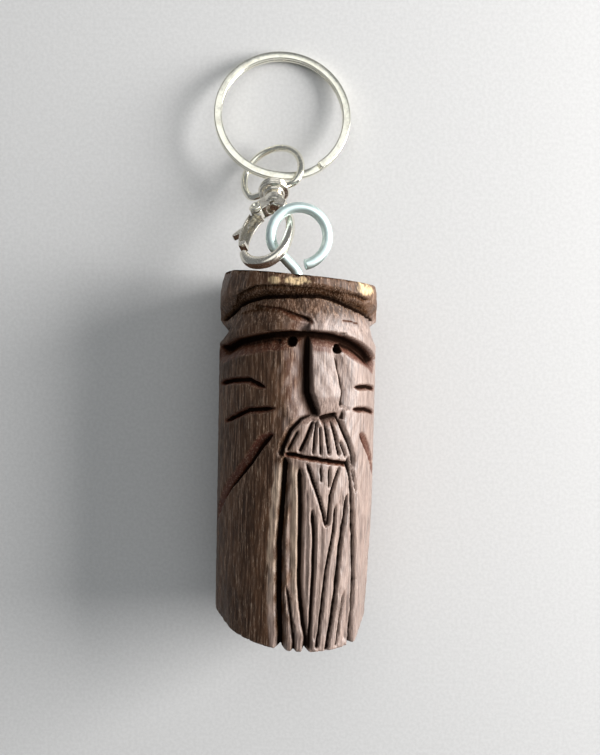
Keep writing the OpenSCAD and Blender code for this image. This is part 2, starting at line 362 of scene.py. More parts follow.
nickel_cast = plated("nickel_cast", (0.84, 0.80, 0.71), (0.52, 0.47, 0.38), rough=0.17)
nickel_wire = plated("nickel_wire", (0.90, 0.88, 0.77), (0.66, 0.61, 0.50), rough=0.16)
zinc_steel = plated("zinc_steel", (0.74, 0.88, 0.86), (0.56, 0.70, 0.70), rough=0.42,
                    scratch=0.4, mottled=0.5)
spring_steel = plated("spring_steel", (0.62, 0.60, 0.56), (0.34, 0.31, 0.28), rough=0.22)

# the wood's colours, from the painted shade at the bottom of a cut to the painted golden highlight
CUT_SHADE = (0.006, 0.003, 0.002)
PORE = (0.020, 0.008, 0.004)
STAIN_DARK = (0.044, 0.019, 0.008)
SAWN_END = (0.060, 0.030, 0.021)
STAIN_THIN = (0.098, 0.046, 0.022)
FRESH_RED = (0.105, 0.030, 0.018)
FIBRE = (0.200, 0.116, 0.076)
PAINTED_SHEEN = (0.40, 0.30, 0.26)
WORN_EDGE = (0.46, 0.33, 0.23)
RUBBED_FIBRE = (0.50, 0.37, 0.27)
GOLD_HIGHLIGHT = (0.76, 0.56, 0.32)


def painted_wood():
    """Dark brown stain over whittled wood: grain, worn fibres on the edges, painted shade in the cuts, red
    in fresh cuts, painted sheen on the front and right, and painted golden highlights. Where each goes
    comes from the figure's own attributes."""
    n = Nodes("painted_wood")
    fibre = n.noise(n.stretched(0.32, 7.0, 0.32), 5.0, 0.62)
    fine = n.noise(n.stretched(0.11, 2.2, 0.11), 3.0, 0.6)
    cloud = n.noise(n.stretched(4.5, 12.0, 4.5), 3.0)
    speck = n.noise(n.stretched(0.22, 0.5, 0.22), 4.0, 0.7)
    edge, red, end, painted_gold_highlight = (n.attribute(k) for k in ("edge", "red", "end_grain", "painted_gold_highlight"))
    groove = n.ramp(n.attribute("groove"), 0.05, 0.62)
    polish_and_painted_sheen = n.less(n.attribute("polish_and_painted_sheen"), red)

    # stain: thin and thick by clouds, pale along raised fibres, dark in the pores
    colour = n.mix(n.ramp(cloud, 0.35, 0.68), STAIN_DARK, STAIN_THIN)
    colour = n.mix(n.ramp(fibre, 0.48, 0.70), colour, FIBRE)
    colour = n.mix(n.times(n.ramp(fibre, 0.48, 0.30), 0.80), colour, PORE)
    colour = n.mix(n.times(red, 0.8), colour, FRESH_RED)
    # fibres and edges where the stain has rubbed off
    rubbed = n.times(n.ramp(fine, 0.53, 0.66), n.ramp(fibre, 0.46, 0.58))
    colour = n.mix(n.times(rubbed, 0.72), colour, RUBBED_FIBRE)
    worn = n.times(edge, n.ramp(speck, 0.50, 0.66))
    colour = n.mix(n.times(worn, 0.45), colour, WORN_EDGE)
    # painted sheen: the front and right, where the window light falls, are painted paler
    colour = n.mix(n.times(polish_and_painted_sheen, n.ramp(fibre, 0.34, 0.60, 0.20, 0.55)), colour, PAINTED_SHEEN)
    # painted golden highlights, in the colour of bare wood
    colour = n.mix(n.times(painted_gold_highlight, n.ramp(fibre, 0.36, 0.54, 0.25, 1.0)), colour, GOLD_HIGHLIGHT)
    colour = n.mix(n.times(end, 0.55), colour, SAWN_END)
    # painted shade: the cuts and hollows are painted near black
    colour = n.mix(n.times(groove, 0.97), colour, CUT_SHADE)

    normal = n.bump(fibre, 0.50, 0.20)
    normal = n.bump(fine, 0.35, 0.07, normal)
    normal = n.bump(speck, 0.10, 0.04, normal)
    polish = n.plus(0.26, n.times(polish_and_painted_sheen, 0.55))
    return n.finish(Base_Color=colour, Normal=normal,
                    Roughness=n.plus(n.ramp(fibre, 0.3, 0.7, 0.42, 0.54), n.times(groove, 0.40)),
                    Specular_IOR_Level=n.less(polish, groove),
                    Sheen_Weight=n.times(n.less(polish_and_painted_sheen, groove), 0.16),
                    Sheen_Roughness=0.4, Sheen_Tint=(1.0, 0.90, 0.86, 1))


wood = painted_wood()


def dress(obj, material, body, slot, *nodes):
    """Gives a piece its material and its CAD body, and hides the CAD nodes that it stands for. The slot is
    not used.
    """
    obj.data.materials.clear()
    obj.data.materials.append(material)
    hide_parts(*nodes)
    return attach(obj, body)


# ------------------------------------------------------------------ the carved figure

fig_low, fig_high = node_box("carved_figure")
STICK_R = (fig_high[0] - fig_low[0]) / 2
STICK_X = (fig_high[0] + fig_low[0]) / 2
STICK_Z = fig_high[2] - STICK_R
TOP_SLOPE = (-0.0804, 0.0304)  # rise of the sawn top, across and outward
FOOT_SLOPE = (-0.0897, -0.206)  # and of the foot
TOP_Y = fig_high[1] - STICK_R * math.hypot(*TOP_SLOPE)
FOOT_Y = fig_low[1] + STICK_R * math.hypot(*FOOT_SLOPE)
SKIN = 0.03  # how far the whole skin stays inside the CAD solid

# columns, in degrees from the front and to the right: fine over the carved side, coarse over the back
CARVED_FROM, CARVED_TO = -98, 112
columns = np.concatenate([np.arange(CARVED_FROM, CARVED_TO, 0.82),
                          np.arange(CARVED_TO, CARVED_FROM + 360, 3.0)])
ROWS = 322
angle, share = np.meshgrid(columns, np.linspace(0, 1, ROWS))
sin_a, cos_a = np.sin(np.radians(angle)), np.cos(np.radians(angle))
rim_top = TOP_Y + STICK_R * (TOP_SLOPE[0] * sin_a + TOP_SLOPE[1] * cos_a)
rim_foot = FOOT_Y + STICK_R * (FOOT_SLOPE[0] * sin_a + FOOT_SLOPE[1] * cos_a)
height = rim_foot + (rim_top - rim_foot) * share
drop = TOP_Y - height  # distance below the middle of the top


def along_skin(degrees):
    """Millimetres round the stick's skin."""
    return np.radians(degrees) * STICK_R


across = along_skin(angle)

# what the cuts make, at each point: depth in millimetres, and shares of painted shade and of red
depth = np.zeros_like(angle)
groove = np.zeros_like(angle)
red = np.zeros_like(angle)

rng = np.random.default_rng(7)


def waves(scale_a, scale_y, count=14):
    """A smooth seeded ripple over the stick, about -1 to 1, with features that long in millimetres."""
    total = np.zeros_like(angle)
    for _ in range(count):
        turns = max(1, round(2 * math.pi * STICK_R / (scale_a * rng.uniform(0.7, 1.6))))
        total += np.sin(np.radians(angle) * turns * rng.choice([-1, 1]) + rng.uniform(0, 6.3)
                        + height * 2 * math.pi / (scale_y * rng.uniform(0.7, 1.6)) * rng.choice([-1, 1]))
    return total / math.sqrt(count)


wobble = waves(3.0, 5.0)
chatter = waves(0.9, 1.3)


def cut(points, deep, left, right, start=1.2, end=1.2, bend=1.0, tint=0.0, dark=0.6, rough=0.0):
    """A knife cut along places on the stick, each (degrees from the front, millimetres below the top).

    The cut is deep along its line and rises to the skin over `left` and `right` millimetres, as seen
    going along it with the face upright. It runs out over `start` and `end`. bend above 1 hollows
    its wide slopes. tint reddens them, dark paints shade near black along the line, and rough makes it
    waver."""
    p = np.array([(along_skin(a), -d) for a, d in points])
    reach = max(left, right) + 0.5
    near = ((across > p[:, 0].min() - reach) & (across < p[:, 0].max() + reach)
            & (-drop > p[:, 1].min() - reach) & (-drop < p[:, 1].max() + reach))
    sway = rough * wobble[near] * 0.25
    q = np.stack([across[near] + sway, -drop[near] + sway], 1)
    best = np.full(len(q), 1e9)
    side = np.zeros(len(q))
    along = np.zeros(len(q))
    length = 0.0
    for a, b in zip(p[:-1], p[1:]):
        d = b - a
        size = np.linalg.norm(d)
        t = np.clip(((q - a) @ d) / size**2, 0, 1)
        gap = q - (a + t[:, None] * d)
        far = np.linalg.norm(gap, axis=1)
        closer = far < best
        best = np.where(closer, far, best)
        side = np.where(closer, d[0] * gap[:, 1] - d[1] * gap[:, 0], side)
        along = np.where(closer, length + t * size, along)
        length += size
    ease = np.ones(len(q))
    if start:
        ease *= np.clip(along / start, 0, 1) ** 0.7
    if end:
        ease *= np.clip((length - along) / end, 0, 1) ** 0.7
    width = np.where(side > 0, left, right)
    wide = width > 1.5
    rise = np.clip(1 - best / (width * np.maximum(ease, 0.05) ** 0.5), 0, 1)
    here = deep * ease * rise ** np.where(wide, bend, 1.0)
    here *= 1 + rough * 0.15 * chatter[near]
    # painted shade along the cut, strongest on its line
    line_shade = dark * ease * rise ** np.where(wide, 2.4, 1.25)
    old = depth[near]
    wins = here > old + 0.02
    depth[near] = np.maximum(old, here)
    groove[near] = np.maximum(np.where(wins, groove[near] * 0.4, groove[near]), line_shade)
    red[near] = np.where(wins, tint * np.clip(here / 0.25, 0, 1), red[near])


def plane_cut(at, drop_at, inset, lean, reach=None):
    """A flat chisel facet facing `at` degrees: its middle is `inset` deep at `drop_at`, and it leans
    in by `lean` for each millimetre further down."""
    flat = STICK_R - inset - lean * (drop - drop_at)
    c = np.cos(np.radians(angle - at))
    radius = np.where(c > 0.2, flat / np.maximum(c, 0.2), 1e3)
    here = STICK_R - radius
    if reach is not None:
        here = np.where((drop > reach[0]) & (drop < reach[1]), here, 0)
    np.maximum(depth, here, out=depth)


# the hat: chisel facets round its front, leaning in toward the top
for at, inset, lean in ((-78, 1.10, -0.30), (-52, 0.62, -0.16), (-24, 0.42, -0.10), (-2, 0.75, -0.34),
                        (22, 0.40, -0.12), (47, 0.55, -0.22), (66, 0.72, -0.30), (92, 0.9, -0.2)):
    plane_cut(at, 0.4, inset, lean, (-3, 6.5))
# whittled flats down the sides
plane_cut(-96, 30, 0.10, 0.004)
plane_cut(78, 44, 0.10, 0.052)
plane_cut(103, 40, 0.25, 0.018)
plane_cut(-64, 56, 0.05, 0.03)

# under the hat: a bevel in to a ragged line, then the forehead coming out again
HAT_LINE = [(-92, 8.9), (-75, 8.3), (-58, 6.6), (-40, 5.0), (-26, 4.2), (1, 3.9), (15, 3.8),
            (26, 4.3), (39, 5.5), (55, 6.6), (75, 7.9), (92, 8.2)]
cut(HAT_LINE, 2.3, 2.7, 0.45, 3, 3, dark=0.85, rough=0.15)
cut([(a, d + 0.35) for a, d in HAT_LINE], 1.35, 0.4, 4.6, 3, 3, dark=0.0, rough=0.1)
cut([(-60, 6.0), (-48, 3.3), (-32, 1.8), (-13, 1.6), (4, 1.9), (15, 2.0), (24, 2.6), (46, 3.1), (64, 4.2)],
    0.85, 0.22, 2.6, 2, 2, bend=0.6, dark=0.45, rough=0.15)
cut([(-84, 8.6), (-62, 7.0), (-48, 5.6)], 2.9, 2.0, 1.4, 2, 2, dark=0.9)
cut([(20, 3.6), (34, 4.6), (52, 5.3), (66, 6.0)], 1.7, 1.1, 1.3, 1.5, 1.5, dark=0.45, rough=0.4)
# the forehead stands in from the hat at both sides
cut([(-104, 11.4), (-86, 11.2), (-70, 10.3), (-56, 9.2)], 2.1, 2.5, 2.3, 0, 5, dark=0.0)
cut([(264, 11.4), (240, 11.6)], 2.1, 2.3, 2.5, 0, 4, dark=0.0)
cut([(64, 7.8), (80, 9.4), (104, 10.2), (128, 10.6)], 1.85, 1.3, 3.8, 5, 4, dark=0.0)
# forehead: a ridge over the nose, wrinkles and a leaf cut
cut([(-40, 5.4), (-13, 6.0), (-2, 7.0), (7, 7.8), (11, 8.8)], 1.15, 0.5, 1.5, 3, 1.2, dark=0.5, tint=0.5)
cut([(7, 4.6), (9, 6.4), (13, 8.8)], 0.75, 0.9, 0.35, 1, 1.5, dark=0.1)
cut([(-52, 7.4), (-32, 6.3), (-14, 6.2)], 0.9, 0.4, 1.1, 2, 2, dark=0.35, tint=0.3)
cut([(31, 8.0), (41, 8.2), (53, 8.9)], 0.9, 0.5, 0.65, 1.2, 1.2, dark=0.35, tint=0.9)

# brow: a deep undercut, then the cheek coming out below it
BROW_L = [(-86, 14.0), (-67, 13.9), (-50, 12.5), (-35, 11.7), (-19, 10.9), (-5, 10.6), (8, 10.6)]
BROW_R = [(4, 10.5), (23, 10.9), (35, 11.5), (47, 12.5), (65, 14.3), (80, 16.0)]
cut(BROW_L, 2.7, 0.7, 3.4, 2.0, 0, bend=1.25, dark=0.95, tint=0.55)
cut(BROW_R, 2.6, 0.7, 3.6, 0, 1.2, bend=1.2, dark=0.95, tint=0.75)
cut([(-58, 13.4), (-38, 12.9), (-20, 12.0), (-8, 11.9)], 2.0, 0.8, 2.2, 2.5, 1.5,
    dark=0.55, tint=0.6, rough=0.2)
cut([(30, 12.2), (44, 13.4), (62, 15.4), (76, 17.0)], 2.2, 0.9, 2.0, 1.5, 2.5,
    dark=0.75, tint=0.9, rough=0.2)

# nose: its left wall, its right wall, its lower cuts and the two front facets
cut([(8.0, 11.6), (8.0, 17.0), (8.6, 21.8), (13.0, 24.6), (17.5, 26.8)], 2.5, 1.05, 5.4, 0, 1.5,
    bend=1.7, dark=0.8, tint=0.25)
cut([(26, 12.4), (31, 17.5), (35.5, 21.6), (33, 25.2)], 1.35, 4.6, 0.8, 1, 1.2, bend=1.6, dark=0.12)
cut([(16.5, 26.6), (22, 26.2), (32, 25.8)], 2.0, 0.5, 3.2, 0.5, 1.0, bend=2.2, dark=0.85, tint=0.4)
bridge = np.clip((23.2 - drop) / 12, 0, 1) * 0.95 + np.clip((drop - 22.6) / 4.0, 0, 1) * 0.9
on_nose = (angle > 9) & (angle < 36) & (drop > 10.5) & (drop < 27)
depth = np.where(on_nose, np.maximum(depth, bridge), depth)
cut([(16.5, 11.5), (17.5, 21)], 0.35, 0.25, 1.3, 0, 1.0, dark=0.0)
# eye holes, with painted shade inside them: degrees, millimetres down, radius
for at, down, size in ((-4.0, 12.2, 1.05), (31, 13.5, 0.98)):
    gap = np.hypot(across - along_skin(at), (drop - down) * 1.05)
    depth = np.maximum(depth, np.clip((size - gap) / 0.28, 0, 1) * 3.9)
    groove = np.maximum(groove, np.clip((size + 0.15 - gap) / 0.3, 0, 1))

# cheek cuts and smile lines
for line, deep, left, right in (
        ([(-74, 21.2), (-52, 20.2), (-36, 19.8), (-21, 21.2)], 1.35, 0.8, 0.8),
        ([(-63, 28.5), (-50, 27.2), (-36, 25.6), (-14, 24.9)], 1.30, 0.7, 0.8),
        ([(44, 20.9), (62, 21.0), (82, 21.8)], 1.25, 0.55, 0.8),
        ([(43, 25.1), (60, 25.4), (82, 26.6)], 1.20, 0.55, 0.8)):
    cut(line, deep, left, right, 2.2, 2.2, dark=0.7, tint=0.8)
cut([(-15, 29.7), (-24, 32.4), (-33, 35.8), (-44, 39.1), (-54, 41.6), (-68, 46.0), (-78, 49.0)],
    1.55, 0.55, 1.9, 2.5, 4, dark=0.6, tint=0.9)
cut([(52, 30.0), (60, 32.6), (70, 35.6), (82, 39.5)], 1.4, 1.7, 0.6, 2.0, 3, dark=0.5, tint=0.9)

# moustache: outline, then its strands
cut([(13, 26.0), (4, 26.9), (-3, 29.0), (-8, 32.2), (-9.5, 34.2)], 1.35, 0.35, 1.1, 1, 0.6, dark=0.75)
cut([(29, 25.8), (34, 28.8), (40, 31.6), (45, 34.6), (47, 37.0)], 1.35, 0.9, 0.4, 0.8, 1.5, dark=0.8)
for line, deep, wide in (
        ([(12.5, 27.0), (8, 30.2), (3, 33.2)], 1.25, 0.62),
        ([(14.5, 27.0), (13.5, 30.0), (12.5, 33.6)], 1.0, 0.38),
        ([(17, 28.0), (18.2, 33.8)], 0.95, 0.34),
        ([(20, 26.8), (22, 30.0), (24.5, 33.8)], 1.05, 0.40),
        ([(25, 26.8), (28.5, 30.0), (32.5, 34.0)], 1.10, 0.44),
        ([(32.5, 31.0), (38.5, 34.4)], 0.95, 0.42),
        ([(2, 28.9), (-5.5, 33.0)], 0.9, 0.5)):
    cut(line, deep, wide, wide, 0.7, 0.4, dark=0.8)
# mouth: a slot with a lip under it
cut([(-7.5, 33.6), (-4, 33.4), (16, 34.4), (41, 35.6)], 1.9, 0.35, 0.75, 0.4, 0.4,
    dark=0.45, tint=1.0, rough=0.25)

# beard grooves, from the outer left to the outer right
BEARD = (
    ([(-7.5, 33.8), (-9, 42.3), (-11, 50.1), (-10.5, 61.7), (-8.5, 71.5)], 2.2, 1.55, 0.55, 0.95),
    ([(2.6, 36.0), (3.8, 44.0), (4, 58.6), (6, 63.5), (10.5, 70.5)], 1.75, 1.15, 0.45, 0.95),
    ([(-4.6, 58.5), (-2, 62.2), (1.8, 70.5)], 0.95, 0.4, 0.4, 0.75),
    ([(12.6, 44.0), (14.6, 50.0), (14.2, 57.7), (12.4, 71.0)], 1.35, 0.7, 0.5, 0.95),
    ([(8, 34.9), (12.5, 38.2), (17, 41.5), (23.5, 47.2)], 1.25, 0.4, 0.55, 0.9),
    ([(33.2, 35.8), (29, 38.8), (26, 41.6), (24.6, 47.0)], 1.25, 0.55, 0.4, 0.9),
    ([(17.6, 35.2), (19, 38.6)], 0.85, 0.32, 0.32, 0.85),
    ([(25, 35.6), (24.6, 39.8)], 0.85, 0.32, 0.32, 0.85),
    ([(30.8, 43.3), (29.6, 48.3), (24.2, 56.0), (18.6, 70.8)], 1.10, 0.4, 0.5, 0.9),
    ([(41, 41.5), (38.6, 46.6), (35.8, 51.4), (32, 62.1), (26.5, 71.4)], 1.35, 0.5, 0.8, 0.95),
    ([(39.6, 60.5), (37, 65), (33.6, 71)], 0.75, 0.35, 0.35, 0.75),
    ([(40, 34.2), (45, 39.0), (49, 51.0), (50.3, 59.0), (47.2, 71.5)], 1.95, 0.5, 1.0, 0.95),
    ([(43, 33.8), (49.6, 41.2)], 0.9, 0.35, 0.4, 0.75),
)
for line, deep, left, right, dark in BEARD:
    cut(line, deep, left, right, 1.6, 0, dark=dark, rough=0.12)
# facets between the strands
for line, deep, left, right in (
        ([(-3.5, 37), (-2.5, 50), (-1.5, 60)], 0.45, 1.3, 0.6),
        ([(8.5, 40), (9.5, 52), (9, 64)], 0.35, 0.5, 1.2),
        ([(19.5, 46), (19, 56), (15.5, 69)], 0.32, 0.9, 0.5),
        ([(35.5, 40), (33, 50), (28, 66)], 0.40, 0.8, 0.5),
        ([(44.6, 44), (44.6, 56), (41, 70)], 0.40, 0.9, 0.6)):
    cut(line, deep, left, right, 3, 0, dark=0.0)
# notches where the grooves leave the foot
for at, deep, left, right in ((-9, 3.4, 0.9, 0.9), (10.5, 2.6, 0.7, 1.0), (47.5, 3.2, 0.8, 1.2),
                              (1.6, 1.5, 0.5, 0.5)):
    cut([(at, 66.0), (at, 74.0)], deep, left, right, 5.5, 0, dark=0.95)

# places on the hat painted with golden highlights, in the colour of bare wood: degrees, millimetres down,
# half sizes, strength
painted_gold_highlight = np.zeros_like(angle)
for at, down, wide, tall, strength in ((-17.5, 0.75, 1.2, 0.75, 0.95),
                                       (-1.5, 0.8, 2.3, 0.7, 0.95),
                                       (57, 1.9, 3.0, 1.25, 0.8)):
    gap = (np.hypot(along_skin(angle - at) / wide, (drop - down) / tall)
           + 0.14 * wobble + 0.10 * chatter)
    painted_gold_highlight = np.maximum(painted_gold_highlight, strength * np.clip((1.15 - gap) / 0.35, 0, 1))

# painted sheen and polish: the front and the right, below the hat, where the window light falls, are
# painted paler and made shinier
polish_and_painted_sheen = np.clip((angle + 10 + 4 * wobble) / 16, 0, 1) * np.clip((drop - 6.5 + 0.3 * wobble) / 2.5, 0, 1)
polish_and_painted_sheen *= np.clip((100 - angle) / 12, 0, 1) * np.where(depth < 1.9, 1.0, 0.3)
# the two bright bevels at the left of the beard, painted paler with painted sheen and golden highlight,
# and with less painted shade: degrees at each of BEVEL_DROPS, strength
BEVEL_DROPS = (34, 42, 50, 62, 72)
for turn, strength in (((-11.2, -13.2, -15.4, -14.9, -12.6), 0.22), ((-0.8, 0.4, 0.6, 2.4, 6.4), 0.20)):
    gap = along_skin(np.abs(angle - np.interp(drop, BEVEL_DROPS, turn)))
    band = np.clip((0.85 + 0.15 * wobble - gap) / 0.3, 0, 1) * np.clip((drop - 35) / 2, 0, 1)
    polish_and_painted_sheen = np.maximum(polish_and_painted_sheen, band)
    painted_gold_highlight = np.maximum(painted_gold_highlight, strength * band * np.clip((66 - drop) / 12, 0, 1))
    groove *= 1 - 0.8 * band * (gap < 0.6)

# slow unevenness of hand work, and chips along the two sawn rims
depth += 0.05 + 0.045 * wobble + 0.012 * chatter
chips = np.clip(waves(1.4, 2.0) - 0.5, 0, 1)
for gap in (rim_top - height, height - rim_foot):
    depth += np.clip(1 - gap / (0.32 + 0.5 * chips), 0, 1) ** 1.5 * (0.22 + 0.25 * chips)


def blurred(field, reach):
    """A box blur over the grid, twice."""
    out = field
    for _ in range(2):
        for axis in (0, 1):
            out = sum(np.roll(out, k, axis) for k in range(-reach, reach + 1)) / (2 * reach + 1)
    return out


edge = np.clip((blurred(depth, 1) - depth) / 0.10 - 0.35, 0, 1)
edge[:4] = np.maximum(edge[:4], 0.6 * chips[:4] + 0.2)
edge[-4:] = np.maximum(edge[-4:], 0.5 * chips[-4:] + 0.2)
# painted shade in hollows: darker where a point lies deeper than the places round it
hollow = np.clip((depth - blurred(depth, 3)) / 0.35 - 0.1, 0, 1)
groove = np.clip(np.maximum(groove * np.clip(depth / 0.7, 0, 1), hollow * 0.7), 0, 1)

radius = STICK_R - SKIN - np.maximum(depth, 0)
flat_back = (STICK_Z - SKIN) / np.maximum(-cos_a, 1e-3)  # the flat that it lies on
radius = np.where(cos_a < -0.2, np.minimum(radius, flat_back), radius)
X, Z = radius * sin_a, radius * cos_a


def end_y(x, z, level, slope):
    """Height of a sawn end, which slopes across and outward from its middle."""
    return level + slope[0] * x + slope[1] * z


# rows near an end stop short of it, and the last row lies on it
Y = height.copy()
for last, rows, level, slope, sign in ((-1, slice(-12, -1), TOP_Y, TOP_SLOPE, -1),
                                       (0, slice(1, 12), FOOT_Y, FOOT_SLOPE, 1)):
    Y[last] = end_y(X[last], Z[last], level, slope) + sign * SKIN
    limit = end_y(X[rows], Z[rows], level, slope) + sign * (SKIN + 0.02)
    Y[rows] = np.minimum(Y[rows], limit) if sign < 0 else np.maximum(Y[rows], limit)

around = len(columns)
points = [np.stack([X.ravel() + STICK_X, Y.ravel(), Z.ravel() + STICK_Z], 1)]
fields = {"groove": [groove.ravel()], "edge": [edge.ravel()], "red": [red.ravel()],
          "end_grain": [np.zeros(angle.size)], "painted_gold_highlight": [painted_gold_highlight.ravel()], "polish_and_painted_sheen": [polish_and_painted_sheen.ravel()]}
faces = ring_quads(ROWS, around)
# the sawn ends, as rings of points in to the middle, with the saw's marks
first = ROWS * around
for row, level, slope, sign in ((0, FOOT_Y, FOOT_SLOPE, 1), (ROWS - 1, TOP_Y, TOP_SLOPE, -1)):
    outer = row * around
    for k, scale in enumerate((0.975, 0.92, 0.82, 0.68, 0.5, 0.3, 0.12)):
        x, z = X[row] * scale, Z[row] * scale
        saw = 0.05 * np.sin(x * 5.1 + z * 1.7 + k) + 0.03
        y = end_y(x, z, level, slope) + sign * (SKIN + saw)
        points.append(np.stack([x + STICK_X, y, z + STICK_Z], 1))
        for name in fields:
            fields[name].append(np.full(around, 1.0 if name == "end_grain" else 0.0))
        for j in range(around):
            m = (j + 1) % around
            quad = (outer + j, outer + m, first + m, first + j)
            faces.append(quad if sign < 0 else quad[::-1])
        outer, first = first, first + around
    cap = tuple(outer + j for j in range(around))
    faces.append(cap if sign < 0 else cap[::-1])

figure = make("whittled_figure", np.concatenate(points), faces)
for name, values in fields.items():
    layer = figure.data.attributes.new(name, "FLOAT", "POINT")
    layer.data.foreach_set("value", np.concatenate(values).astype(np.float32))
dress(figure, wood, "figure", "stained_wood", "carved_figure")

# ------------------------------------------------------------------ the screw eye

EYE_WIRE, EYE_R = 1.07, 5.75  # the wire's radius, and the radius of the eye's middle line
EYE_TURN = 10  # degrees that the eye is turned about its shank
SHANK_X = -0.1
THREAD_PITCH, THREAD_TURNS = 1.15, 8.6


def screw_eye():
    """A bent wire with a point, and a thread round its shank."""
    low, high = node_box("screw_eye")
    c, s = math.cos(math.radians(EYE_TURN)), math.sin(math.radians(EYE_TURN))
    x = high[0] - (EYE_R + EYE_WIRE) * c - 0.02
    at = Place((x, high[1] - EYE_R - EYE_WIRE, (low[2] + high[2]) / 2), (c, 0, -s), (0, 1, 0), (s, 0, c))
    neck, tip = TOP_Y + 1.1 - at.origin[1], low[1] - at.origin[1]

    ring = [(EYE_R * math.cos(math.radians(a)), EYE_R * math.sin(math.radians(a)), 0)
            for a in range(-78, 196, 4)]
    bend = smooth_path([ring[-1], (-5.15, -2.5, 0), (-3.75, -3.55, 0), (-2.0, -5.3, 0),
                        (-0.25, neck + 0.35, 0), (SHANK_X, neck - 1.6, 0), (SHANK_X, neck - 4, 0)])
    shank = [(SHANK_X, y, 0) for y in np.linspace(neck - 4.5, tip + 1.6, 8)]
    path = np.array(ring[:-1] + bend.tolist() + shank + [(SHANK_X, tip + 0.05, 0)])
    # the sawn end is a little smaller than the wire, and the other end is a point
    path = np.insert(path, 1, path[0] + (path[1] - path[0]) * 0.25, axis=0)
    size = np.concatenate([[0.84], np.ones(len(path) - 2), [0.15]])
    loop = sweep("eye_loop", path, circle(EYE_WIRE), at, normal=(0, 0, 1), scales=size)

    turns = np.arange(0, THREAD_TURNS, 1 / 24)
    away = np.array([(math.sin(2 * math.pi * t), 0, math.cos(2 * math.pi * t)) for t in turns])
    helix = away + [(SHANK_X, tip + 1.8 + THREAD_PITCH * t, 0) for t in turns]
    ridge = np.array([(0.20, 0), (-0.12, 0.34), (-0.12, -0.34)])
    fade = np.clip(np.minimum(turns, turns[::-1]) * 1.6, 0.1, 1)
    thread = sweep("eye_thread", helix, ridge, at, normal=away, scales=fade)
    dress(join("screw_eye_wire", [loop, thread]), zinc_steel, "figure", "zinc_steel", "screw_eye")


screw_eye()

# ------------------------------------------------------------------ the clasp

LEAN = 12  # turn of the swivel's axis from the hook's own length, in degrees
RIVET = (-3.1, -2.5)  # the gate's rivet, in the hook's own frame
THICK = 2.3  # of the hook's bar
BLOCK_HALF = (THICK + 0.66) / 2  # half the thickness of the block that holds the rivet
GATE_HALF = 1.13
MIDDLE, HALF_L, HALF_W = (0.25, -9.0), 7.5, 4.9  # the hook's outline: its middle and half sizes

pivot, gate_axis = joint_place("gate_pivot")
_, swivel_axis = joint_place("swivel_spin")
swivel_x = np.cross(swivel_axis, gate_axis)
hook_at = Place(pivot, swivel_x, swivel_axis, gate_axis).turned(-LEAN)
hook_at.origin = pivot - np.array([RIVET[0], RIVET[1], 0]) @ hook_at.axes
swivel_at = hook_at.turned(LEAN)


def signed_power(v, power):
    """A power of the number's size, with the number's own sign."""
    return np.sign(v) * np.abs(v) ** power


def mid_line(t):
    """The hook's closed outline, a rounded teardrop, at t degrees."""
    c, s = math.cos(math.radians(t)), math.sin(math.radians(t))
    return np.array([MIDDLE[0] + HALF_W * (1 - 0.15 * max(0, s)) * signed_power(c, 0.87),
                     MIDDLE[1] + HALF_L * signed_power(s, 0.87)])


def outward(t):
    """The direction straight out of the outline at t degrees."""
    d = mid_line(t + 1) - mid_line(t - 1)
    return np.array([d[1], -d[0]]) / np.linalg.norm(d)


def off_line(t, by):
    """A point that far outside the outline."""
    return tuple(mid_line(t) + outward(t) * by)


def bell(t, at, wide):
    """A hump one high, that wide about its top."""
    return math.exp(-(((t - at) / wide) ** 2))


def bar(t):
    """Half the width of the hook's bar, thick at its bow and its shoulder and thin near its tip."""
    return 0.86 + 0.35 * bell(t, -95, 45) + 0.35 * bell(t, 70, 22) - 0.28 * bell(t, -152, 12)


def round_plate(name, radius, z0, z1):
    """A round plate about the rivet's line."""
    return prism(name, [tuple(p) for p in circle(radius, 32) + RIVET], z0, z1, hook_at)


def claw_body():
    """The cast hook: its bar, the block and ear that hold the rivet, and the neck round the swivel."""
    stops = np.arange(74, -151, -3.0)
    path = np.array([(*mid_line(t), 0) for t in stops])
    sides = np.array([(*outward(t), 0) for t in stops])

    def section(i):
        """A rounded rectangle, smaller in the last steps before the tip."""
        t = np.linspace(0, 2 * math.pi, 26, endpoint=False)
        end = min(1.0, 0.45 + 0.3 * (len(stops) - 1 - i))
        flat = THICK / 2 * (1 if end == 1 else 0.9)
        return np.stack([bar(stops[i]) * signed_power(np.cos(t), 0.8),
                         flat * signed_power(np.sin(t), 0.8)], 1) * end

    shoulder = [(-3.5, -1.35), (-2.2, 0.05), (-0.95, 1.0), (1.4, 0.85), (3.3, -1.3), (3.1, -3.0),
                (1.6, -2.3), (-0.6, -2.4), (-2.4, -3.6)]
    neck = [(0.02, -0.9), (1.9, -0.9), (2.0, -0.4), (2.0, 0.9), (1.85, 1.35), (1.5, 1.5), (0.02, 1.52)]
    body = [sweep("hook", path, section, hook_at, normal=sides),
            prism("block", shoulder, -BLOCK_HALF, BLOCK_HALF, hook_at),
            round_plate("ear", 1.46, -BLOCK_HALF, BLOCK_HALF),
            lathe("neck", neck, swivel_at, 40)]
    gap = [(-8, -9.5), (-8, 1.4), (-3.9, 0.2), (-1.5, -1.4), (-1.5, -9.5)]
    bore = [(0.02, -6), (1.52, -6), (1.52, -1.25), (0.97, -1.25), (0.97, 3), (0.02, 3)]
    body = carve(melt(join("clasp_hook", body), 0.10),
                 prism("slot", gap, -1.26, 1.26, hook_at),
                 lathe("bore", bore, swivel_at, 40))
    dress(soften(melt(body, 0.09), 5), nickel_cast, "claw", "nickel_cast", "claw_body")


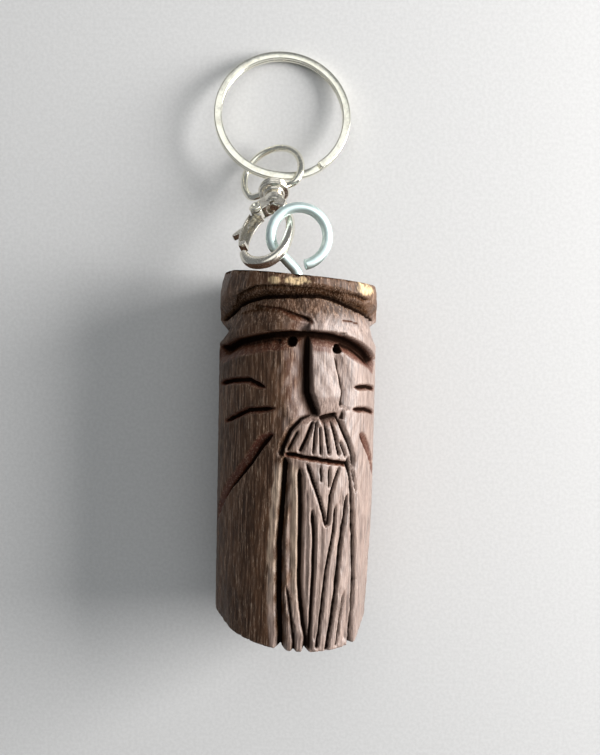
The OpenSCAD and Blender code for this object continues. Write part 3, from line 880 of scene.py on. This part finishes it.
def gate_lever():
    """The gate: a lever with a knuckle and a thumb tab, hollow where the spring lies."""
    outer = [off_line(t, 0.92 - 0.3 * (t - 126) / 78) for t in range(126, 205, 3)]
    inner = [off_line(t, -(1.70 - 0.97 * (t - 132) / 72)) for t in range(203, 131, -3)]
    tab = [(-4.85, -6.7), (-6.55, -8.15), (-7.1, -8.9), (-7.22, -9.3), (-6.95, -9.42), (-6.0, -9.0),
           (-5.0, -8.5)]
    lever = [prism("lever", outer + inner, -GATE_HALF, GATE_HALF, hook_at),
             round_plate("knuckle", 1.4, -GATE_HALF, GATE_HALF),
             prism("tab", tab, -0.72, 0.72, hook_at)]
    hollow = [off_line(t, 0.35) for t in range(141, 196, 3)]
    hollow += [off_line(t, -2.2) for t in range(195, 140, -3)]
    channel = [(-4.1, -2.9), (-3.6, -2.9), (-3.7, -5.4), (-4.32, -5.4)]
    lever = carve(melt(join("clasp_gate", lever), 0.09),
                  prism("hollow", hollow, -0.65, 3, hook_at),
                  round_plate("pocket", 1.2, 0.15, 3),
                  round_plate("bore", 0.76, -3, 3),
                  prism("channel", channel, 0.1, 3, hook_at))
    dress(soften(melt(lever, 0.08), 4), nickel_cast, "gate", "nickel_cast", "gate_lever")


def gate_rivet():
    """A shaft with two spun heads, each with a dimple."""
    x, y, z = hook_at.axes
    at = Place(hook_at.out([(*RIVET, 0)])[0], x, z, -y)
    face = THICK / 2 + 0.35
    half = [(0.70, 0.0), (0.70, face - 0.01), (1.16, face), (1.19, face + 0.06), (1.15, face + 0.18),
            (1.02, face + 0.30), (0.86, face + 0.345), (0.66, face + 0.33), (0.56, face + 0.18),
            (0.34, face + 0.02), (0.12, face), (0.01, face)]
    profile = [(r, -h) for r, h in reversed(half)] + half[1:]
    dress(lathe("clasp_rivet", profile, at, 48), nickel_wire, "claw", "nickel_wire", "gate_rivet")


def gate_spring():
    """A torsion spring: a leg along the lever, and two and a half turns in the knuckle."""
    first = 3.75  # where the leg meets the coil, in radians
    coil = [(RIVET[0] + 0.98 * math.cos(a), RIVET[1] + 0.98 * math.sin(a), 0.44 + 0.036 * (first - a))
            for a in np.linspace(first, first - 5 * math.pi, 100)]
    leg = [(-4.23, -7.3, 0.31), (-4.14, -6.0, 0.39), (-4.0, -4.2, 0.44), (-3.92, -3.4, 0.44)]
    path = smooth_path(np.vstack([leg, coil]), 1)
    dress(sweep("clasp_spring", path, circle(0.14, 10), hook_at, normal=(0, 0, 1)),
          spring_steel, "gate", "spring_steel", "gate_spring")


claw_body()
gate_lever()
gate_rivet()
gate_spring()

# ------------------------------------------------------------------ swivel head and bail

HEAD_R = 3.25
BEADS = ((2.10, 2.78, HEAD_R - 0.12), (2.78, 3.5, HEAD_R - 0.02), (3.5, 4.12, HEAD_R - 0.2))
BAIL_WIRE, BAIL_R = 0.75, 6.6  # the wire's radius, and the radius of the bail's middle line
BAIL_DROP = 4.2  # from the pin's line to the middle of the bail's round
BAIL_SWING = 9  # degrees that the bail is tilted at rest


def swivel_head():
    """The beaded barrel, and the stem that is riveted inside the hook's neck."""
    profile = [(0.01, -1.93), (1.0, -1.93), (1.25, -1.8), (1.28, -1.6), (1.15, -1.48), (0.88, -1.46),
               (0.88, 1.62), (1.7, 1.63), (2.1, 1.74), (2.18, 1.9), (2.12, 2.04), (2.3, 2.1)]
    for base, top, r in BEADS:
        for t in np.arange(1, 8) / 8:
            profile.append((r - 0.42 * abs(2 * t - 1) ** 2.6, base + (top - base) * t))
    profile += [(HEAD_R - 0.62, 4.2), (HEAD_R - 0.75, 4.36), (HEAD_R - 1.1, 4.55),
                (HEAD_R - 1.7, 4.68), (HEAD_R - 2.4, 4.73), (0.01, 4.74)]
    barrel = lathe("swivel_barrel", profile, swivel_at, 96)
    dress(barrel, nickel_cast, "swivel", "nickel_cast", "swivel_head")


def swivel_bail():
    """A round of wire whose two ends turn in to the barrel."""
    pin, pin_axis = joint_place("bail_hinge")
    pin_y = swivel_axis - pin_axis * (swivel_axis @ pin_axis)
    pin_y /= np.linalg.norm(pin_y)
    pin_z = np.cross(pin_axis, pin_y)
    c, s = math.cos(math.radians(BAIL_SWING)), math.sin(math.radians(BAIL_SWING))
    at = Place(pin, pin_axis, c * pin_y + s * pin_z, c * pin_z - s * pin_y)
    reach = math.sqrt(BAIL_R**2 - BAIL_DROP**2)
    half = math.pi - math.acos(BAIL_DROP / BAIL_R) - 0.10
    loop = [(BAIL_R * math.sin(a), BAIL_DROP + BAIL_R * math.cos(a), 0)
            for a in np.linspace(-half, half, 70)]
    end = [(0.6, 0, 0), (2.6, 0, 0), (4.3, 0, 0), (reach - 0.12, 0.14, 0)]
    left_end = smooth_path([(-x, y, z) for x, y, z in end] + [loop[0]])
    right_end = smooth_path([loop[-1]] + end[::-1])
    path = np.vstack([left_end[:-1], loop, right_end[1:]])
    dress(sweep("bail_wire", path, circle(BAIL_WIRE - 0.005, 28), at, normal=(0, 0, 1)),
          nickel_wire, "bail", "nickel_wire", "swivel_bail")


swivel_head()
swivel_bail()

# ------------------------------------------------------------------ split ring

RING_R, RING_W, RING_COIL = 14.45, 1.7, 0.95  # outer radius, and the wire's width and thickness
RING_PITCH, RING_BANK = math.radians(15), math.radians(4.5)
STEP_AT, STEP_WIDE = -77, 46  # where the wire passes from one turn to the other, in degrees


def split_ring():
    """A key ring of flattened wire: two turns, and a step from one to the other."""
    low, high = node_box("split_ring")
    tilt = Matrix.Rotation(-RING_PITCH, 3, "X") @ Matrix.Rotation(RING_BANK, 3, "Y")
    at = Place((low + high) / 2, *tilt.col)
    turn = np.linspace(STEP_AT + STEP_WIDE / 2, STEP_AT + 720 - STEP_WIDE / 2, 330)
    change = np.clip((turn - (STEP_AT + 360 - STEP_WIDE / 2 + 3)) / (STEP_WIDE - 6), 0, 1)
    radial = np.stack([np.cos(np.radians(turn)), np.sin(np.radians(turn)), np.zeros(len(turn))], 1)
    path = radial * (RING_R - RING_W / 2)
    path[:, 2] = (RING_COIL / 2 - 0.01) * (1 - 2 * (change * change * (3 - 2 * change)))
    taper = np.ones(len(turn))
    taper[0] = taper[-1] = 0.86
    section = rounded(RING_W - 0.01, RING_COIL - 0.02, 0.30)
    dress(sweep("split_ring_wire", path, section, at, normal=radial, scales=taper),
          nickel_wire, "ring", "nickel_wire", "split_ring")


split_ring()

# ------------------------------------------------------------------ stage, light and camera

FLOOR_HALF = 1.2
FOCAL_SHARE = 975 / 755  # focal length over the long side of the frame
SENSOR = 36.0
CAMERA_AT = (0.00204, 0.005515, 0.214)
TIP, ROLL = math.radians(4.0), math.radians(1.25)  # toward the ring, and about the view


def stage_floor():
    """A large pale sheet with a faint tooth, under the object."""
    w = FLOOR_HALF
    mesh = bpy.data.meshes.new("floor")
    mesh.from_pydata([(-w, -w, 0), (w, -w, 0), (w, w, 0), (-w, w, 0)], [], [(0, 1, 2, 3)])
    floor = add("floor", mesh)
    n = Nodes("pale_floor")
    tooth = n.noise(n.stretched(0.7, 0.7, 0.7), 3.0)
    colour = n.mix(n.ramp(tooth, 0.3, 0.7), (0.56, 0.56, 0.555), (0.61, 0.61, 0.605))
    mesh.materials.append(n.finish(Base_Color=colour, Roughness=n.ramp(tooth, 0, 1, 0.75, 0.85),
                                   Normal=n.bump(tooth, 0.1, 0.05)))


def area_light(name, place, aim, size, power, colour):
    light = bpy.data.lights.new(name, "AREA")
    light.shape = "RECTANGLE"
    light.size, light.size_y = size
    light.energy = power
    light.color = colour
    obj = add(name, light)
    obj.location = place
    obj.rotation_mode = "QUATERNION"
    obj.rotation_quaternion = (Vector(aim) - Vector(place)).to_track_quat("-Z", "Y")


def sky():
    """A weak, slightly blue light from all sides."""
    world = bpy.data.worlds.new("studio")
    bpy.context.scene.world = world
    world.use_nodes = True
    background = world.node_tree.nodes["Background"]
    background.inputs["Color"].default_value = (0.90, 0.95, 1.0, 1)
    background.inputs["Strength"].default_value = 0.22


def camera():
    """Over the carving, tipped a little toward the ring, level with the photograph's frame."""
    forward = Vector((0, -math.sin(TIP), -math.cos(TIP)))
    level_right, level_up = Vector((1, 0, 0)), Vector((0, math.cos(TIP), -math.sin(TIP)))
    right = math.cos(ROLL) * level_right + math.sin(ROLL) * level_up
    up = math.cos(ROLL) * level_up - math.sin(ROLL) * level_right
    data = bpy.data.cameras.new("camera")
    data.sensor_fit = "AUTO"
    data.sensor_width = SENSOR
    data.lens = SENSOR * FOCAL_SHARE
    data.clip_start, data.clip_end = 0.01, 10.0
    obj = add("camera", data)
    obj.matrix_world = Matrix.Translation(CAMERA_AT) @ Matrix((right, up, -forward)).transposed().to_4x4()
    bpy.context.scene.camera = obj
    bpy.context.scene.view_settings.view_transform = "Standard"


stage_floor()
area_light("window", (0.50, 0.08, 0.21), (0.0, -0.01, 0.01), (0.30, 0.34), 7.0, (1.0, 0.98, 0.97))
area_light("overhead", (0.04, 0.27, 0.60), (0.0, 0.0, 0.01), (0.70, 0.60), 1.35, (0.99, 1.0, 0.99))
sky()
camera()
